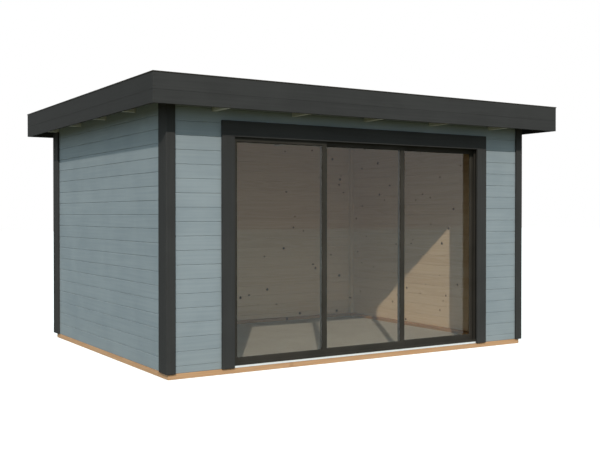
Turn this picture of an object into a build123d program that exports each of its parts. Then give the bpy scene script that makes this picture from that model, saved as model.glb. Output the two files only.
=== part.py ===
"""Garden office pod: a log-built garden room under a flat roof, with a three-track sliding door.

Millimetres.  The origin is on the ground under the middle of the pod, +X runs to the right along
the front, the door looks towards -Y and +Z is up.
"""
import os

from build123d import *

# Walls of machined logs
WALL_WIDTH = 3828.0
WALL_DEPTH = 2905.0
LOG_THICKNESS = 44.0
LOG_HEIGHT = 114.0
LOG_GROOVE_WIDTH = 7.0
LOG_GROOVE_DEPTH = 4.5
BACK_LOG_END = 44.0

# Foundation beams and floor
BEAM_HEIGHT = 45.0
BEAM_WIDTH = 95.0
FLOOR_THICKNESS = 12.0

# Corner boards outside, battens inside
BOARD_THICKNESS = 20.0
CORNER_FACE_WIDTH = 78.0
CORNER_RETURN_WIDTH = 140.0
CORNER_FRONT_RISE = 100.0
BATTEN_SIZE = 45.0

# Door opening and casing
OPENING_WIDTH = 2826.0
HEADER_DEPTH = 118.0
CASING_LEG_WIDTH = 115.0
CASING_HEAD_WIDTH = 130.0

# Channelled door frame: solid backs, with lips and webs that make a pocket for each sash
FRAME_CLEARANCE = 2.0
JAMB_BACK = 53.0
JAMB_POCKET = 27.0
HEAD_BACK = 40.0
HEAD_POCKET = 36.0
SILL_BACK = 5.0
SILL_LIP = 33.0
SILL_WEB = 20.0
LIP_THICKNESS = 3.0
WEB_THICKNESS = 2.0
THRESHOLD_HEIGHT = 16.0
THRESHOLD_THICKNESS = 4.0

# Sliding sashes in three tracks
SASH_COUNT = 3
SASH_THICKNESS = 24.0
SASH_SIDE_GAP = 4.0
SASH_END_GAP = 6.0
SASH_OVERLAP = 40.0
SASH_SET_SHIFT = 12.0
SASH_BOTTOM_GAP = 6.0
SASH_TOP_GAP = 8.0
STILE_WIDTH = 45.0
RAIL_WIDTH = 70.0
GLASS_THICKNESS = 6.0
GLASS_REBATE = 12.0
GLASS_CLEARANCE = 0.3

# Guide ribs of the door frame and the grooves that ride on them
GUIDE_WIDTH = 6.0
GUIDE_SIDE_CLEARANCE = 2.0
BOTTOM_GROOVE_DEPTH = 10.0
BOTTOM_SEAT_CLEARANCE = 0.3
TOP_GROOVE_DEPTH = 12.0
TOP_ENGAGEMENT = 6.0

# Roof structure
EAVES_HEIGHT = 2130.0
SIDE_OVERHANG = 233.0
END_OVERHANG = 268.0
RAFTER_COUNT = 5
RAFTER_SPACING = 752.0
RAFTER_WIDTH = 44.0
RAFTER_FRONT_HEIGHT = 165.0
ROOF_FALL = 60.0
LOOKOUT_COUNT = 4
LOOKOUT_SPACING = 716.0
LOOKOUT_BACK_INSET = 70.5
LOOKOUT_RISE = 33.0
NOTCH_CLEARANCE = 1.0
DECK_THICKNESS = 19.0
FELT_THICKNESS = 4.0

# Fascia of two boards, and the trim that caps it
FASCIA_LOWER_HEIGHT = 104.0
FASCIA_JOINT_GAP = 1.0
FASCIA_UPPER_HEIGHT = 127.0
FASCIA_CHAMFER = 2.0
TRIM_HEIGHT = 8.0
TRIM_WIDTH = 30.0
TRIM_LIP = 4.0
TRIM_JOINT_GAP = 1.0

# Places worked out from the sizes above
HALF_WIDTH = WALL_WIDTH / 2
HALF_DEPTH = WALL_DEPTH / 2
INNER_HALF_WIDTH = HALF_WIDTH - LOG_THICKNESS
INNER_HALF_DEPTH = HALF_DEPTH - LOG_THICKNESS
HALF_OPENING = OPENING_WIDTH / 2
FRONT = -HALF_DEPTH
LOG_ENDS_BACK = HALF_DEPTH + BACK_LOG_END

OPENING_TOP = EAVES_HEIGHT - HEADER_DEPTH
TRACK_PITCH = SASH_THICKNESS + WEB_THICKNESS + 2 * SASH_SIDE_GAP
TRACK_FIRST = LIP_THICKNESS + SASH_SIDE_GAP + SASH_THICKNESS / 2
TRACKS = [TRACK_FIRST + track * TRACK_PITCH for track in range(SASH_COUNT)]
FRAME_DEPTH = TRACKS[-1] + TRACK_FIRST
JAMB_OUTER = HALF_OPENING - FRAME_CLEARANCE
JAMB_FLOOR = JAMB_OUTER - JAMB_BACK
JAMB_FACE = JAMB_FLOOR - JAMB_POCKET
HEAD_TOP = OPENING_TOP - FRAME_CLEARANCE
HEAD_FLOOR = HEAD_TOP - HEAD_BACK
HEAD_FACE = HEAD_FLOOR - HEAD_POCKET
SILL_FLOOR = BEAM_HEIGHT + SILL_BACK

SASH_BOTTOM = SILL_FLOOR + SASH_BOTTOM_GAP
SASH_TOP = HEAD_FLOOR - SASH_TOP_GAP
SASH_RUN = 2 * JAMB_FLOOR - 2 * SASH_END_GAP
SASH_WIDTH = (SASH_RUN + (SASH_COUNT - 1) * SASH_OVERLAP) / SASH_COUNT
SASH_STEP = SASH_WIDTH - SASH_OVERLAP

FASCIA_HALF_WIDTH = HALF_WIDTH + SIDE_OVERHANG
FASCIA_HALF_DEPTH = HALF_DEPTH + END_OVERHANG
DECK_HALF_WIDTH = FASCIA_HALF_WIDTH - BOARD_THICKNESS
DECK_HALF_DEPTH = FASCIA_HALF_DEPTH - BOARD_THICKNESS
FASCIA_TOP = EAVES_HEIGHT + FASCIA_LOWER_HEIGHT + FASCIA_JOINT_GAP + FASCIA_UPPER_HEIGHT
RAFTER_PLACES = [(i - (RAFTER_COUNT - 1) / 2) * RAFTER_SPACING for i in range(RAFTER_COUNT)]
LOOKOUT_BACK = HALF_DEPTH - LOOKOUT_BACK_INSET
LOOKOUT_PLACES = [LOOKOUT_BACK - i * LOOKOUT_SPACING for i in range(LOOKOUT_COUNT)]
LOOKOUT_UNDER = EAVES_HEIGHT + LOOKOUT_RISE

nodes = {}


def block(x_low, x_high, y_low, y_high, z_low, z_high):
    """A squared piece of timber between two opposite corners."""
    corner = (Align.MIN, Align.MIN, Align.MIN)
    return Pos(x_low, y_low, z_low) * Box(x_high - x_low, y_high - y_low, z_high - z_low, align=corner)


def run_along_x(points, x_low, x_high):
    """A section drawn in Y and Z, carried along X."""
    face = Plane.YZ * make_face(Polyline(*points, close=True))
    return Pos(x_low, 0, 0) * extrude(face, amount=x_high - x_low)


def run_along_y(points, y_low, y_high):
    """A section drawn in X and Z, carried along Y."""
    face = Plane.XZ * make_face(Polyline(*points, close=True))
    return Pos(0, y_high, 0) * extrude(face, amount=y_high - y_low)


def run_along_z(points, z_low, z_high):
    """A section drawn in X and Y, carried up along Z."""
    face = make_face(Polyline(*points, close=True))
    return Pos(0, 0, z_low) * extrude(face, amount=z_high - z_low)


def deck_under(y, rise=0):
    """Height of the roof deck's underside at y, or a sheet above it: it falls evenly to the back."""
    fallen_share = (y + DECK_HALF_DEPTH) / (2 * DECK_HALF_DEPTH)
    return EAVES_HEIGHT + RAFTER_FRONT_HEIGHT - fallen_share * ROOF_FALL + rise


def log_section(outer_top, inner_top, first_joint, bottom):
    """Outline of a wall of stacked logs, (depth, height), with a V groove at each joint, both sides."""
    half = LOG_GROOVE_WIDTH / 2
    joints = []
    height = first_joint
    while height + half < min(outer_top, inner_top):
        if height - half > bottom:
            joints.append(height)
        height += LOG_HEIGHT
    outside = [(0, bottom)]
    inside = [(LOG_THICKNESS, bottom)]
    for joint in joints:
        outside += [(0, joint - half), (LOG_GROOVE_DEPTH, joint), (0, joint + half)]
        inside += [(LOG_THICKNESS, joint - half), (LOG_THICKNESS - LOG_GROOVE_DEPTH, joint)]
        inside += [(LOG_THICKNESS, joint + half)]
    outside.append((0, outer_top))
    inside.append((LOG_THICKNESS, inner_top))
    return outside + inside[::-1]


def end_wall(side, x_low, x_high, bottom):
    """A stretch of the front (side -1) or back (side 1) wall, notched over the rafters."""
    outer_top = deck_under(side * HALF_DEPTH)
    inner_top = deck_under(side * INNER_HALF_DEPTH)
    section = log_section(outer_top, inner_top, BEAM_HEIGHT + LOG_HEIGHT / 2, bottom)
    wall = run_along_x([(side * (HALF_DEPTH - depth), z) for depth, z in section], x_low, x_high)
    half = RAFTER_WIDTH / 2 + NOTCH_CLEARANCE
    above = EAVES_HEIGHT + RAFTER_FRONT_HEIGHT
    for x in RAFTER_PLACES:
        if x_low < x < x_high:
            wall -= block(x - half, x + half, -FASCIA_HALF_DEPTH, FASCIA_HALF_DEPTH, EAVES_HEIGHT, above)
    return wall


def side_wall(side):
    """The left (side -1) or right (side 1) wall, cut to the roof's fall and notched for the lookouts.

    Its logs run on past the back wall by the length of their ends.
    """
    above = EAVES_HEIGHT + RAFTER_FRONT_HEIGHT
    section = log_section(above, above, BEAM_HEIGHT + LOG_HEIGHT, BEAM_HEIGHT)
    outline = [(side * (HALF_WIDTH - depth), z) for depth, z in section]
    wall = run_along_y(outline, -HALF_DEPTH, LOG_ENDS_BACK)
    roof_space = [(-DECK_HALF_DEPTH, deck_under(-DECK_HALF_DEPTH))]
    roof_space += [(DECK_HALF_DEPTH, deck_under(DECK_HALF_DEPTH)), (DECK_HALF_DEPTH, above + LOG_HEIGHT)]
    roof_space += [(-DECK_HALF_DEPTH, above + LOG_HEIGHT)]
    wall -= run_along_x(roof_space, -FASCIA_HALF_WIDTH, FASCIA_HALF_WIDTH)
    half = RAFTER_WIDTH / 2 + NOTCH_CLEARANCE
    for y in LOOKOUT_PLACES:
        wall -= block(-FASCIA_HALF_WIDTH, FASCIA_HALF_WIDTH, y - half, y + half, LOOKOUT_UNDER, above)
    return wall


def make_base():
    """Four foundation beams laid on the ground, and the floor sheet inside them."""
    inner_x = HALF_WIDTH - BEAM_WIDTH
    inner_y = HALF_DEPTH - BEAM_WIDTH
    nodes["beam_front"] = block(-HALF_WIDTH, HALF_WIDTH, -HALF_DEPTH, -inner_y, 0, BEAM_HEIGHT)
    nodes["beam_back"] = block(-HALF_WIDTH, HALF_WIDTH, inner_y, HALF_DEPTH, 0, BEAM_HEIGHT)
    nodes["beam_left"] = block(-HALF_WIDTH, -inner_x, -inner_y, inner_y, 0, BEAM_HEIGHT)
    nodes["beam_right"] = block(inner_x, HALF_WIDTH, -inner_y, inner_y, 0, BEAM_HEIGHT)
    nodes["floor_deck"] = block(-inner_x, inner_x, -inner_y, inner_y, 0, FLOOR_THICKNESS)


def make_walls():
    """Side walls over the whole depth, end walls between them, the front one open for the door."""
    nodes["left_wall"] = side_wall(-1)
    nodes["right_wall"] = side_wall(1)
    nodes["back_wall"] = end_wall(1, -INNER_HALF_WIDTH, INNER_HALF_WIDTH, BEAM_HEIGHT)
    nodes["front_wall_left"] = end_wall(-1, -INNER_HALF_WIDTH, -HALF_OPENING, BEAM_HEIGHT)
    nodes["front_wall_right"] = end_wall(-1, HALF_OPENING, INNER_HALF_WIDTH, BEAM_HEIGHT)
    nodes["front_wall_header"] = end_wall(-1, -HALF_OPENING, HALF_OPENING, OPENING_TOP)


def make_corners():
    """A face board and a return board at each outer corner, and a batten in each inner one.

    The front boards run up behind the fascia, the back ones end under the last lookout.
    """
    board_x = HALF_WIDTH + BOARD_THICKNESS
    battens = []
    front = ("front", -1, HALF_DEPTH, EAVES_HEIGHT + CORNER_FRONT_RISE)
    for end, y_side, line, top in (front, ("back", 1, LOG_ENDS_BACK, LOOKOUT_UNDER)):
        for hand, x_side in (("left", -1), ("right", 1)):
            face_x = sorted((x_side * board_x, x_side * (board_x - CORNER_FACE_WIDTH)))
            face_y = sorted((y_side * (line + BOARD_THICKNESS), y_side * line))
            nodes[f"corner_face_{end}_{hand}"] = block(*face_x, *face_y, BEAM_HEIGHT, top)
            return_x = sorted((x_side * board_x, x_side * HALF_WIDTH))
            return_y = sorted((y_side * line, y_side * (line - CORNER_RETURN_WIDTH)))
            nodes[f"corner_return_{end}_{hand}"] = block(*return_x, *return_y, BEAM_HEIGHT, top)
            batten_x = sorted((x_side * INNER_HALF_WIDTH, x_side * (INNER_HALF_WIDTH - BATTEN_SIZE)))
            batten_y = sorted((y_side * INNER_HALF_DEPTH, y_side * (INNER_HALF_DEPTH - BATTEN_SIZE)))
            battens.append(block(*batten_x, *batten_y, BEAM_HEIGHT, EAVES_HEIGHT))
    nodes["corner_battens"] = Compound(battens)


def make_casing():
    """Two casing legs flush with the jambs' faces and a head board that lies across their tops."""
    outer = JAMB_FACE + CASING_LEG_WIDTH
    y_low = FRONT - BOARD_THICKNESS
    nodes["casing_left"] = block(-outer, -JAMB_FACE, y_low, FRONT, BEAM_HEIGHT, HEAD_FACE)
    nodes["casing_right"] = block(JAMB_FACE, outer, y_low, FRONT, BEAM_HEIGHT, HEAD_FACE)
    nodes["casing_head"] = block(-outer, outer, y_low, FRONT, HEAD_FACE, HEAD_FACE + CASING_HEAD_WIDTH)


def channel_section(back, front_lip, webs, back_lip, guides=0):
    """Outline of a frame member, (depth, height over its back's top), with lips, webs and guide ribs."""
    strips = [(0, LIP_THICKNESS, front_lip)]
    for track, middle in enumerate(TRACKS):
        if track:
            web = middle - TRACK_PITCH / 2
            strips.append((web - WEB_THICKNESS / 2, web + WEB_THICKNESS / 2, webs))
        if guides:
            strips.append((middle - GUIDE_WIDTH / 2, middle + GUIDE_WIDTH / 2, guides))
    strips.append((FRAME_DEPTH - LIP_THICKNESS, FRAME_DEPTH, back_lip))
    outline = [(FRAME_DEPTH, -back), (0, -back)]
    for low, high, height in strips:
        foot = [] if low == 0 else [(low, 0)]
        heel = [] if high == FRAME_DEPTH else [(high, 0)]
        outline += foot + [(low, height), (high, height)] + heel
    return outline


def make_door_frame():
    """Channelled sill and head with a guide under and over each sash, between two channelled jambs.

    The sashes stand a little to the right of the middle, so the right jamb has the deeper pocket.
    """
    sill_guide = SASH_BOTTOM_GAP + BOTTOM_GROOVE_DEPTH - BOTTOM_SEAT_CLEARANCE
    sill = channel_section(SILL_BACK, SILL_LIP, SILL_WEB, SILL_WEB, sill_guide)
    sill = [(FRONT + depth, SILL_FLOOR + height) for depth, height in sill]
    nodes["door_sill"] = run_along_x(sill, -JAMB_FACE, JAMB_FACE)
    head = channel_section(HEAD_BACK, HEAD_POCKET, HEAD_POCKET, HEAD_POCKET, SASH_TOP_GAP + TOP_ENGAGEMENT)
    head = [(FRONT + depth, HEAD_FLOOR - height) for depth, height in head]
    nodes["door_head"] = run_along_x(head, -JAMB_FACE, JAMB_FACE)
    for hand, side in (("left", -1), ("right", 1)):
        pocket = JAMB_POCKET + side * SASH_SET_SHIFT
        jamb = channel_section(JAMB_BACK - side * SASH_SET_SHIFT, pocket, pocket, pocket)
        outline = [(side * (JAMB_FACE + pocket - height), FRONT + depth) for depth, height in jamb]
        nodes[f"door_jamb_{hand}"] = run_along_z(outline, BEAM_HEIGHT, HEAD_TOP)
    strip_top = BEAM_HEIGHT + THRESHOLD_HEIGHT
    strip_y = (FRONT - THRESHOLD_THICKNESS, FRONT)
    nodes["door_threshold"] = block(-JAMB_FACE, JAMB_FACE, *strip_y, BEAM_HEIGHT, strip_top)


def make_sash(hand, track):
    """One sash of stiles and rails, grooved for its guides and rebated for its glass, in its track."""
    x_low = SASH_SET_SHIFT - JAMB_FLOOR + SASH_END_GAP + track * SASH_STEP
    x_high = x_low + SASH_WIDTH
    middle = FRONT + TRACKS[track]
    y_low = middle - SASH_THICKNESS / 2
    y_high = middle + SASH_THICKNESS / 2
    light_x = (x_low + STILE_WIDTH, x_high - STILE_WIDTH)
    light_z = (SASH_BOTTOM + RAIL_WIDTH, SASH_TOP - RAIL_WIDTH)
    sash = block(x_low, x_high, y_low, y_high, SASH_BOTTOM, SASH_TOP)
    sash -= block(*light_x, y_low, y_high, *light_z)
    slot = GLASS_THICKNESS / 2 + GLASS_CLEARANCE
    rebate_x = (light_x[0] - GLASS_REBATE, light_x[1] + GLASS_REBATE)
    rebate_z = (light_z[0] - GLASS_REBATE, light_z[1] + GLASS_REBATE)
    sash -= block(*rebate_x, middle - slot, middle + slot, *rebate_z)
    groove = GUIDE_WIDTH / 2 + GUIDE_SIDE_CLEARANCE
    bottom_groove_top = SASH_BOTTOM + BOTTOM_GROOVE_DEPTH
    top_groove_floor = SASH_TOP - TOP_GROOVE_DEPTH
    sash -= block(x_low, x_high, middle - groove, middle + groove, SASH_BOTTOM, bottom_groove_top)
    sash -= block(x_low, x_high, middle - groove, middle + groove, top_groove_floor, SASH_TOP)
    nodes[f"sash_{hand}"] = sash
    glass_x = (rebate_x[0] + GLASS_CLEARANCE, rebate_x[1] - GLASS_CLEARANCE)
    glass_z = (rebate_z[0] + GLASS_CLEARANCE, rebate_z[1] - GLASS_CLEARANCE)
    glass_y = (middle - GLASS_THICKNESS / 2, middle + GLASS_THICKNESS / 2)
    nodes[f"glass_{hand}"] = block(*glass_x, *glass_y, *glass_z)


def make_rafters():
    """Tapered rafters from fascia to fascia, seated in the notches of the front and back walls."""
    section = [(-DECK_HALF_DEPTH, EAVES_HEIGHT), (DECK_HALF_DEPTH, EAVES_HEIGHT)]
    section += [(y, deck_under(y)) for y in (DECK_HALF_DEPTH, -DECK_HALF_DEPTH)]
    half = RAFTER_WIDTH / 2
    nodes["rafters"] = Compound([run_along_x(section, x - half, x + half) for x in RAFTER_PLACES])


def lookout(y_middle, x_low, x_high):
    """A cross piece that carries the side eaves, its top planed to the roof's fall."""
    y_low = y_middle - RAFTER_WIDTH / 2
    y_high = y_middle + RAFTER_WIDTH / 2
    section = [(y_low, LOOKOUT_UNDER), (y_high, LOOKOUT_UNDER)]
    section += [(y, deck_under(y)) for y in (y_high, y_low)]
    return run_along_x(section, x_low, x_high)


def make_lookouts():
    """Lookouts from the outer rafter through the side wall to the fascia, set higher than the rafters."""
    rafter_face = RAFTER_PLACES[-1] + RAFTER_WIDTH / 2
    for hand, side in (("left", -1), ("right", 1)):
        ends = sorted((side * rafter_face, side * DECK_HALF_WIDTH))
        nodes[f"lookouts_{hand}"] = Compound([lookout(y, *ends) for y in LOOKOUT_PLACES])


def roof_sheet(rise, thickness):
    """A sheet laid to the roof's fall inside the fascia, rise above the rafters' tops."""
    ends = (-DECK_HALF_DEPTH, DECK_HALF_DEPTH)
    section = [(y, deck_under(y, rise)) for y in ends]
    section += [(y, deck_under(y, rise + thickness)) for y in ends[::-1]]
    return run_along_x(section, -DECK_HALF_WIDTH, DECK_HALF_WIDTH)


def make_roof():
    """Roof boards on the rafters, with felt over them."""
    nodes["roof_deck"] = roof_sheet(0, DECK_THICKNESS)
    nodes["roof_felt"] = roof_sheet(DECK_THICKNESS, FELT_THICKNESS)


def make_felt_upstands():
    """Strips of felt dressed up the fascia's inner faces, from the roof sheet to the capping."""
    rise = DECK_THICKNESS + FELT_THICKNESS
    strips = []
    for side in (-1, 1):
        ends = sorted((side * DECK_HALF_DEPTH, side * (DECK_HALF_DEPTH - FELT_THICKNESS)))
        section = [(y, deck_under(y, rise)) for y in ends] + [(y, FASCIA_TOP) for y in ends[::-1]]
        strips.append(run_along_x(section, -DECK_HALF_WIDTH, DECK_HALF_WIDTH))
        reach = DECK_HALF_DEPTH - FELT_THICKNESS - TRIM_JOINT_GAP
        section = [(y, deck_under(y, rise)) for y in (-reach, reach)]
        section += [(y, FASCIA_TOP) for y in (reach, -reach)]
        faces = sorted((side * DECK_HALF_WIDTH, side * (DECK_HALF_WIDTH - FELT_THICKNESS)))
        strips.append(run_along_x(section, *faces))
    nodes["felt_upstands"] = Compound(strips)


def fascia_sections(inner, outer):
    """Outlines of the lower and the upper fascia board, chamfered outside where they meet."""
    shy = outer - FASCIA_CHAMFER if outer > inner else outer + FASCIA_CHAMFER
    low = EAVES_HEIGHT + FASCIA_LOWER_HEIGHT
    high = low + FASCIA_JOINT_GAP
    lower = [(inner, EAVES_HEIGHT), (outer, EAVES_HEIGHT), (outer, low - FASCIA_CHAMFER)]
    lower += [(shy, low), (inner, low)]
    upper = [(inner, high), (shy, high), (outer, high + FASCIA_CHAMFER), (outer, FASCIA_TOP)]
    return lower, upper + [(inner, FASCIA_TOP)]


def make_fascia():
    """A lower and an upper fascia board on each side: the end ones lap the ends of the side ones."""
    for name, side in (("front", -1), ("back", 1)):
        sections = fascia_sections(side * DECK_HALF_DEPTH, side * FASCIA_HALF_DEPTH)
        boards = [run_along_x(section, -FASCIA_HALF_WIDTH, FASCIA_HALF_WIDTH) for section in sections]
        nodes[f"fascia_{name}"] = Compound(boards)
    for name, side in (("left", -1), ("right", 1)):
        sections = fascia_sections(side * DECK_HALF_WIDTH, side * FASCIA_HALF_WIDTH)
        boards = [run_along_y(section, -DECK_HALF_DEPTH, DECK_HALF_DEPTH) for section in sections]
        nodes[f"fascia_{name}"] = Compound(boards)


def make_edge_trim():
    """Flat capping strips on the fascia's top edge, with a small lip outside and open butt joints."""
    outer_x = FASCIA_HALF_WIDTH + TRIM_LIP
    outer_y = FASCIA_HALF_DEPTH + TRIM_LIP
    inner_x = outer_x - TRIM_WIDTH
    inner_y = outer_y - TRIM_WIDTH
    z = (FASCIA_TOP, FASCIA_TOP + TRIM_HEIGHT)
    strips = []
    for side in (-1, 1):
        strips.append(block(-outer_x, outer_x, *sorted((side * inner_y, side * outer_y)), *z))
        ends = (TRIM_JOINT_GAP - inner_y, inner_y - TRIM_JOINT_GAP)
        strips.append(block(*sorted((side * inner_x, side * outer_x)), *ends, *z))
    nodes["roof_edge_trim"] = Compound(strips)


make_base()
make_walls()
make_corners()
make_casing()
make_door_frame()
for sash_track, sash_hand in enumerate(("left", "middle", "right")):
    make_sash(sash_hand, sash_track)
make_rafters()
make_lookouts()
make_roof()
make_felt_upstands()
make_fascia()
make_edge_trim()

os.makedirs("parts", exist_ok=True)
for node_name, shape in nodes.items():
    export_step(shape, f"parts/{node_name}.step")
print(len(nodes), "nodes; sash width", round(SASH_WIDTH, 3), "sash step", round(SASH_STEP, 3))
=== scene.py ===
# %% [markdown]
# # A log-built garden office pod
#
# This lesson dresses the imported frame of a garden room: stacked logs under a flat roof, with a wide
# sliding door. The frame gives every piece its place, in metres, with +X to the right along the
# front, the door looking towards -Y and +Z up. Nothing here moves or resizes it. The box around the
# bare frame is kept.

import math

import bpy
import numpy as np
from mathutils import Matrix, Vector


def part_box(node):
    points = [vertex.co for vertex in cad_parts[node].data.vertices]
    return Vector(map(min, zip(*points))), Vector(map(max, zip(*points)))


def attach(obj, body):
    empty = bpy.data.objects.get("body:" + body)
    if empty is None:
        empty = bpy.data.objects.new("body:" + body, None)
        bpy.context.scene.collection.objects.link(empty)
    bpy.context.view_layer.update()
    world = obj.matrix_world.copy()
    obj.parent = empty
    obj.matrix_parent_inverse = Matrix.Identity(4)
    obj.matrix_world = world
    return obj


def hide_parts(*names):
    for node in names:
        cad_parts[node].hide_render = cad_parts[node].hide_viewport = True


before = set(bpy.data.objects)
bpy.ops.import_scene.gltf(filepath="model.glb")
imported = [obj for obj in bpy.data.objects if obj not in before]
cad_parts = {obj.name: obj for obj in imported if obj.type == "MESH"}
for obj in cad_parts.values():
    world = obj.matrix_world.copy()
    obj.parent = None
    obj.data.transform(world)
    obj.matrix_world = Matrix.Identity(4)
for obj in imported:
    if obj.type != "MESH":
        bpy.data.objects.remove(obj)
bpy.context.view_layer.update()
rng = np.random.default_rng(11)


def box_of(*nodes):
    """Lowest and highest corner around some nodes of the frame, as arrays in metres."""
    corners = np.array([[tuple(corner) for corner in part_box(node)] for node in nodes])
    return corners[:, 0].min(axis=0), corners[:, 1].max(axis=0)


# %% [markdown]
# ## Timber as sections carried along a line
#
# Nearly everything on the pod is a straight piece of planed timber, whose edges are eased so that
# paint holds on them. A cube with a bevel would do for one board. Here there are hundreds, so the
# boards are worked out together: a rounded section is an array of points, and a whole batch of
# sections is laid along X, Y or Z as one array of rings. Each point also keeps its place along and
# across its own board, with an offset drawn by chance, so that the grain follows the timber and no
# two boards share it.

# %% Sections, rings and skins
EDGE_STEPS = 2
SECTION_CORNERS = np.array([(1, -1), (1, 1), (-1, 1), (-1, -1)])


def eased_sections(low, high, ease, steps=EDGE_STEPS):
    """Rectangles with eased corners, n x points x 2, counter-clockwise from the corner (+u, -v).

    A corner's points are middle + ease * (cos a, sin a), where the middle lies inside the corner by
    its ease and a runs over a quarter turn. One step makes a plain chamfer. The ease is one number,
    or an array that spreads over n x 4 corners x 2.
    """
    low, high = np.atleast_2d(low), np.atleast_2d(high)
    ease = np.broadcast_to(ease, (len(low), 4, 2))
    middle = np.where(SECTION_CORNERS > 0, high[:, None], low[:, None]) - SECTION_CORNERS * ease
    turn = math.pi / 2 * (np.arange(4)[:, None] - 1 + np.linspace(0, 1, steps + 1))
    ring = np.stack([np.cos(turn), np.sin(turn)], axis=-1)
    return (middle[:, :, None] + ease[:, :, None] * ring).reshape(len(low), -1, 2)


def drawn_in(sections, ease):
    """Sections scaled about their middles so that every side comes in by the ease."""
    low, high = sections.min(axis=-2, keepdims=True), sections.max(axis=-2, keepdims=True)
    middle = (low + high) / 2
    return middle + (sections - middle) * (1 - 2 * ease / (high - low))


def carried(sections, along, axis):
    """Rings in space: sections (n, rings, points, 2) set at the places along (n, rings) of an axis."""
    rings = np.empty(sections.shape[:3] + (3,))
    rings[..., axis] = along[:, :, None]
    rings[..., (axis + 1) % 3] = sections[..., 0]
    rings[..., (axis + 2) % 3] = sections[..., 1]
    return rings


def straight(sections, spans, axis, ease):
    """Straight bars: four rings each, at the span's ends and an ease inside them, the end ones drawn in."""
    spans = np.broadcast_to(spans, (len(sections), 2))
    ends = drawn_in(sections, ease)
    rings = np.stack([ends, sections, sections, ends], axis=1)
    along = spans[:, [0, 0, 1, 1]] + ease * np.array([0, 1, -1, 0])
    return carried(rings, along, axis)


def skin(bars, rings, points):
    """Corner numbers of the faces of some bars: quads from ring to ring, and a cap at both ends."""
    ring = np.arange(points)
    ahead = np.roll(ring, -1)
    quad = np.stack([ring, ahead, ahead + points, ring + points], axis=1)
    sides = (quad + points * np.arange(rings - 1)[:, None, None]).reshape(-1, 4)
    caps = np.stack([ring[::-1], ring + (rings - 1) * points])
    first = rings * points * np.arange(bars)[:, None, None]
    return (sides + first).reshape(-1, 4), (caps + first).reshape(-1, points)


print("a board's section has", eased_sections((0, 0), (0.1, 0.02), 0.002).shape[1], "points")

# %% [markdown]
# ## From arrays to a mesh
#
# The rings of several batches become one mesh, written with foreach_set in a few calls. Three
# attributes go with it: "grain" holds each point's place along, across and through its board,
# "tone" is one number per board for its own shade, and "eased" marks the faces on the edges, where
# paint wears thin and turns lighter, which also paints a highlight along them. A piece then rides on
# a body of the frame, stands for the nodes it replaces and takes its finishes.

# %% Pieces from batches of rings
GRAIN_JUMP = 40.0


def batch(rings, axis, finish=None, steps=EDGE_STEPS):
    """One batch of bars for a piece: its rings, its axis, and the finish number of each section face."""
    points = rings.shape[2]
    finish = np.zeros(points, int) if finish is None else finish
    rounded = np.arange(points) % (steps + 1) < steps if steps else np.zeros(points, bool)
    return {"rings": rings, "axis": axis, "finish": finish, "rounded": rounded}


def grain_places(rings, axis):
    """Each point's (along, across, through) on its own bar: across is the section's wider way."""
    size = np.ptp(rings, axis=(1, 2)).mean(axis=0)
    others = [(axis + 1) % 3, (axis + 2) % 3]
    others.sort(key=lambda way: -size[way])
    jump = rng.uniform(-GRAIN_JUMP, GRAIN_JUMP, (len(rings), 1, 1, 3))
    return rings[..., [axis] + others] + jump


def write_mesh(name, places, polygons, attributes):
    """A mesh from point places, a list of equal-sided face arrays and (name, kind, domain, values) rows."""
    mesh = bpy.data.meshes.new(name)
    corners = np.concatenate([faces.ravel() for faces in polygons])
    sizes = np.concatenate([np.full(len(faces), faces.shape[1]) for faces in polygons])
    mesh.vertices.add(len(places))
    mesh.vertices.foreach_set("co", places.astype(np.float32).ravel())
    mesh.loops.add(len(corners))
    mesh.loops.foreach_set("vertex_index", corners.astype(np.int32))
    mesh.polygons.add(len(sizes))
    mesh.polygons.foreach_set("loop_start", (np.cumsum(sizes) - sizes).astype(np.int32))
    mesh.update(calc_edges=True)
    mesh.shade_flat()
    for title, kind, domain, values in attributes:
        field = "vector" if kind == "FLOAT_VECTOR" else "value"
        made = mesh.attributes.new(title, kind, domain)
        made.data.foreach_set(field, np.asarray(values, np.float32).ravel())
    return mesh


def add_object(mesh, finishes, stands_for=(), body="pod"):
    """Puts a mesh on stage as a piece of a body, with its finishes and the nodes it replaces."""
    piece = bpy.data.objects.new(mesh.name, mesh)
    bpy.context.collection.objects.link(piece)
    for finish in finishes:
        mesh.materials.append(finish)
    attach(piece, body)
    if stands_for:
        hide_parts(*stands_for)
    return piece


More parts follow.
